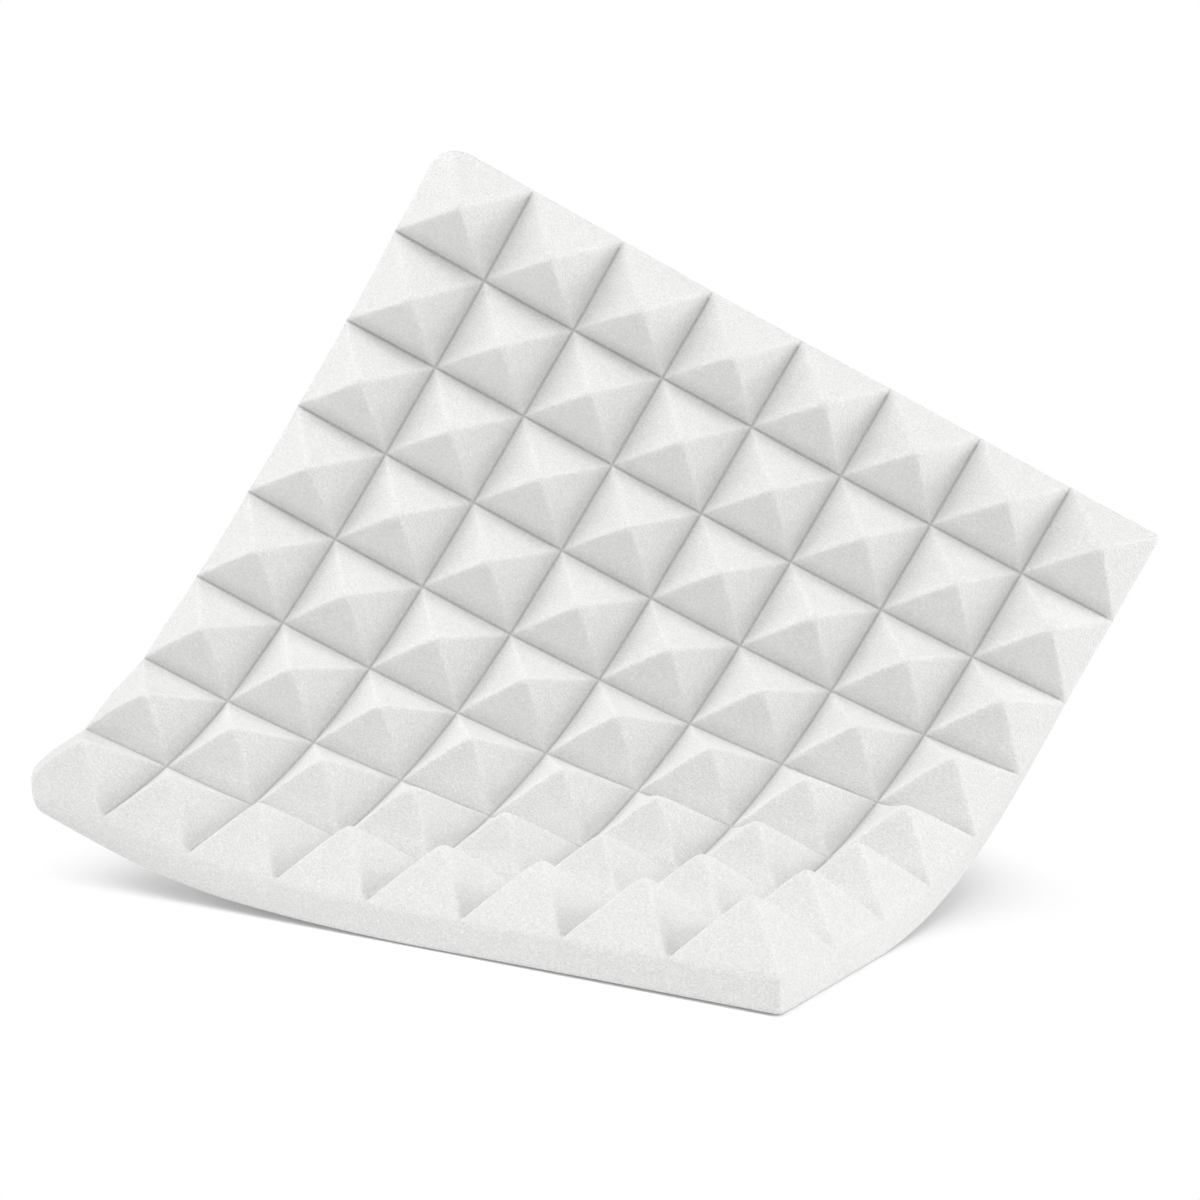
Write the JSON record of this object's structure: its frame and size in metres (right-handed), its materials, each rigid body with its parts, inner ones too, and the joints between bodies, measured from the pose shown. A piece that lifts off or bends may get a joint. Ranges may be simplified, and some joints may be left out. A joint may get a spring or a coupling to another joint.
{
  "type": "acoustic foam panel",
  "caption": "Square sound-absorbing foam tile with rows of pyramids on one face and a plain back, bent so that one corner lies on the floor and the opposite corner stands; it flexes until it lies flat.",
  "frame": {"origin": "middle of the lying corner's plain back face, which is one of the faces glued to a wall in use", "axes": "+X along the bend lines, +Z out of the lying corner's pyramids; that corner points to -Y, and the standing side rises behind it at +Y with its pyramids facing -Y"},
  "size_m": [0.6776, 0.343, 0.4412],
  "materials": {
    "foam": "open-cell polyurethane foam, white, matt, fine pores"
  },
  "bodies": {
    "corner_lying": {"foam_corner_lying": "foam"},
    "strip_2": {"foam_strip_2": "foam"},
    "strip_3": {"foam_strip_3": "foam"},
    "strip_4": {"foam_strip_4": "foam"},
    "strip_5": {"foam_strip_5": "foam"},
    "strip_6": {"foam_strip_6": "foam"},
    "strip_7": {"foam_strip_7": "foam"},
    "strip_8": {"foam_strip_8": "foam"},
    "strip_9": {"foam_strip_9": "foam"},
    "corner_standing": {"foam_corner_standing": "foam"}
  },
  "joints": [
    {"name": "flex_1", "type": "hinge", "parent": "corner_lying", "child": "strip_2", "pos_m": [0, 0.04227, 0], "axis": [-1, 0, 0], "range_deg": [0, 10], "stiffness_Nm_per_rad": 5, "springref_deg": -3.14},
    {"name": "flex_2", "type": "hinge", "parent": "strip_2", "child": "strip_3", "pos_m": [0, 0.09447, 0.0092], "axis": [-1, 0, 0], "range_deg": [0, 14], "stiffness_Nm_per_rad": 5, "springref_deg": -2.05},
    {"name": "flex_3", "type": "hinge", "parent": "strip_3", "child": "strip_4", "pos_m": [0, 0.14289, 0.03076], "axis": [-1, 0, 0], "range_deg": [0, 15], "stiffness_Nm_per_rad": 5, "springref_deg": -1.16},
    {"name": "flex_4", "type": "hinge", "parent": "strip_4", "child": "strip_5", "pos_m": [0, 0.18407, 0.06411], "axis": [-1, 0, 0], "range_deg": [0, 18], "stiffness_Nm_per_rad": 5, "springref_deg": -0.52},
    {"name": "flex_5", "type": "hinge", "parent": "strip_5", "child": "strip_6", "pos_m": [0, 0.21294, 0.10856], "axis": [-1, 0, 0], "range_deg": [0, 12], "stiffness_Nm_per_rad": 5, "springref_deg": -0.17},
    {"name": "flex_6", "type": "hinge", "parent": "strip_6", "child": "strip_7", "pos_m": [0, 0.23193, 0.15804], "axis": [-1, 0, 0], "range_deg": [0, 7], "stiffness_Nm_per_rad": 5, "springref_deg": -0.01},
    {"name": "flex_7", "type": "hinge", "parent": "strip_7", "child": "strip_8", "pos_m": [0, 0.24476, 0.20947], "axis": [-1, 0, 0], "range_deg": [0, 5], "stiffness_Nm_per_rad": 5, "springref_deg": 0.04},
    {"name": "flex_8", "type": "hinge", "parent": "strip_8", "child": "strip_9", "pos_m": [0, 0.25305, 0.26182], "axis": [-1, 0, 0], "range_deg": [0, 3], "stiffness_Nm_per_rad": 5, "springref_deg": 0.05},
    {"name": "flex_9", "type": "hinge", "parent": "strip_9", "child": "corner_standing", "pos_m": [0, 0.25859, 0.31453], "axis": [-1, 0, 0], "range_deg": [0, 6.5], "stiffness_Nm_per_rad": 5, "springref_deg": 0.03}
  ],
  "couplings": [
    {"joint": "flex_1", "follows": "flex_4", "ratio": 0.55556},
    {"joint": "flex_2", "follows": "flex_4", "ratio": 0.77778},
    {"joint": "flex_3", "follows": "flex_4", "ratio": 0.83333},
    {"joint": "flex_5", "follows": "flex_4", "ratio": 0.66667},
    {"joint": "flex_6", "follows": "flex_4", "ratio": 0.38889},
    {"joint": "flex_7", "follows": "flex_4", "ratio": 0.27778},
    {"joint": "flex_8", "follows": "flex_4", "ratio": 0.16667},
    {"joint": "flex_9", "follows": "flex_4", "ratio": 0.36111}
  ]
}
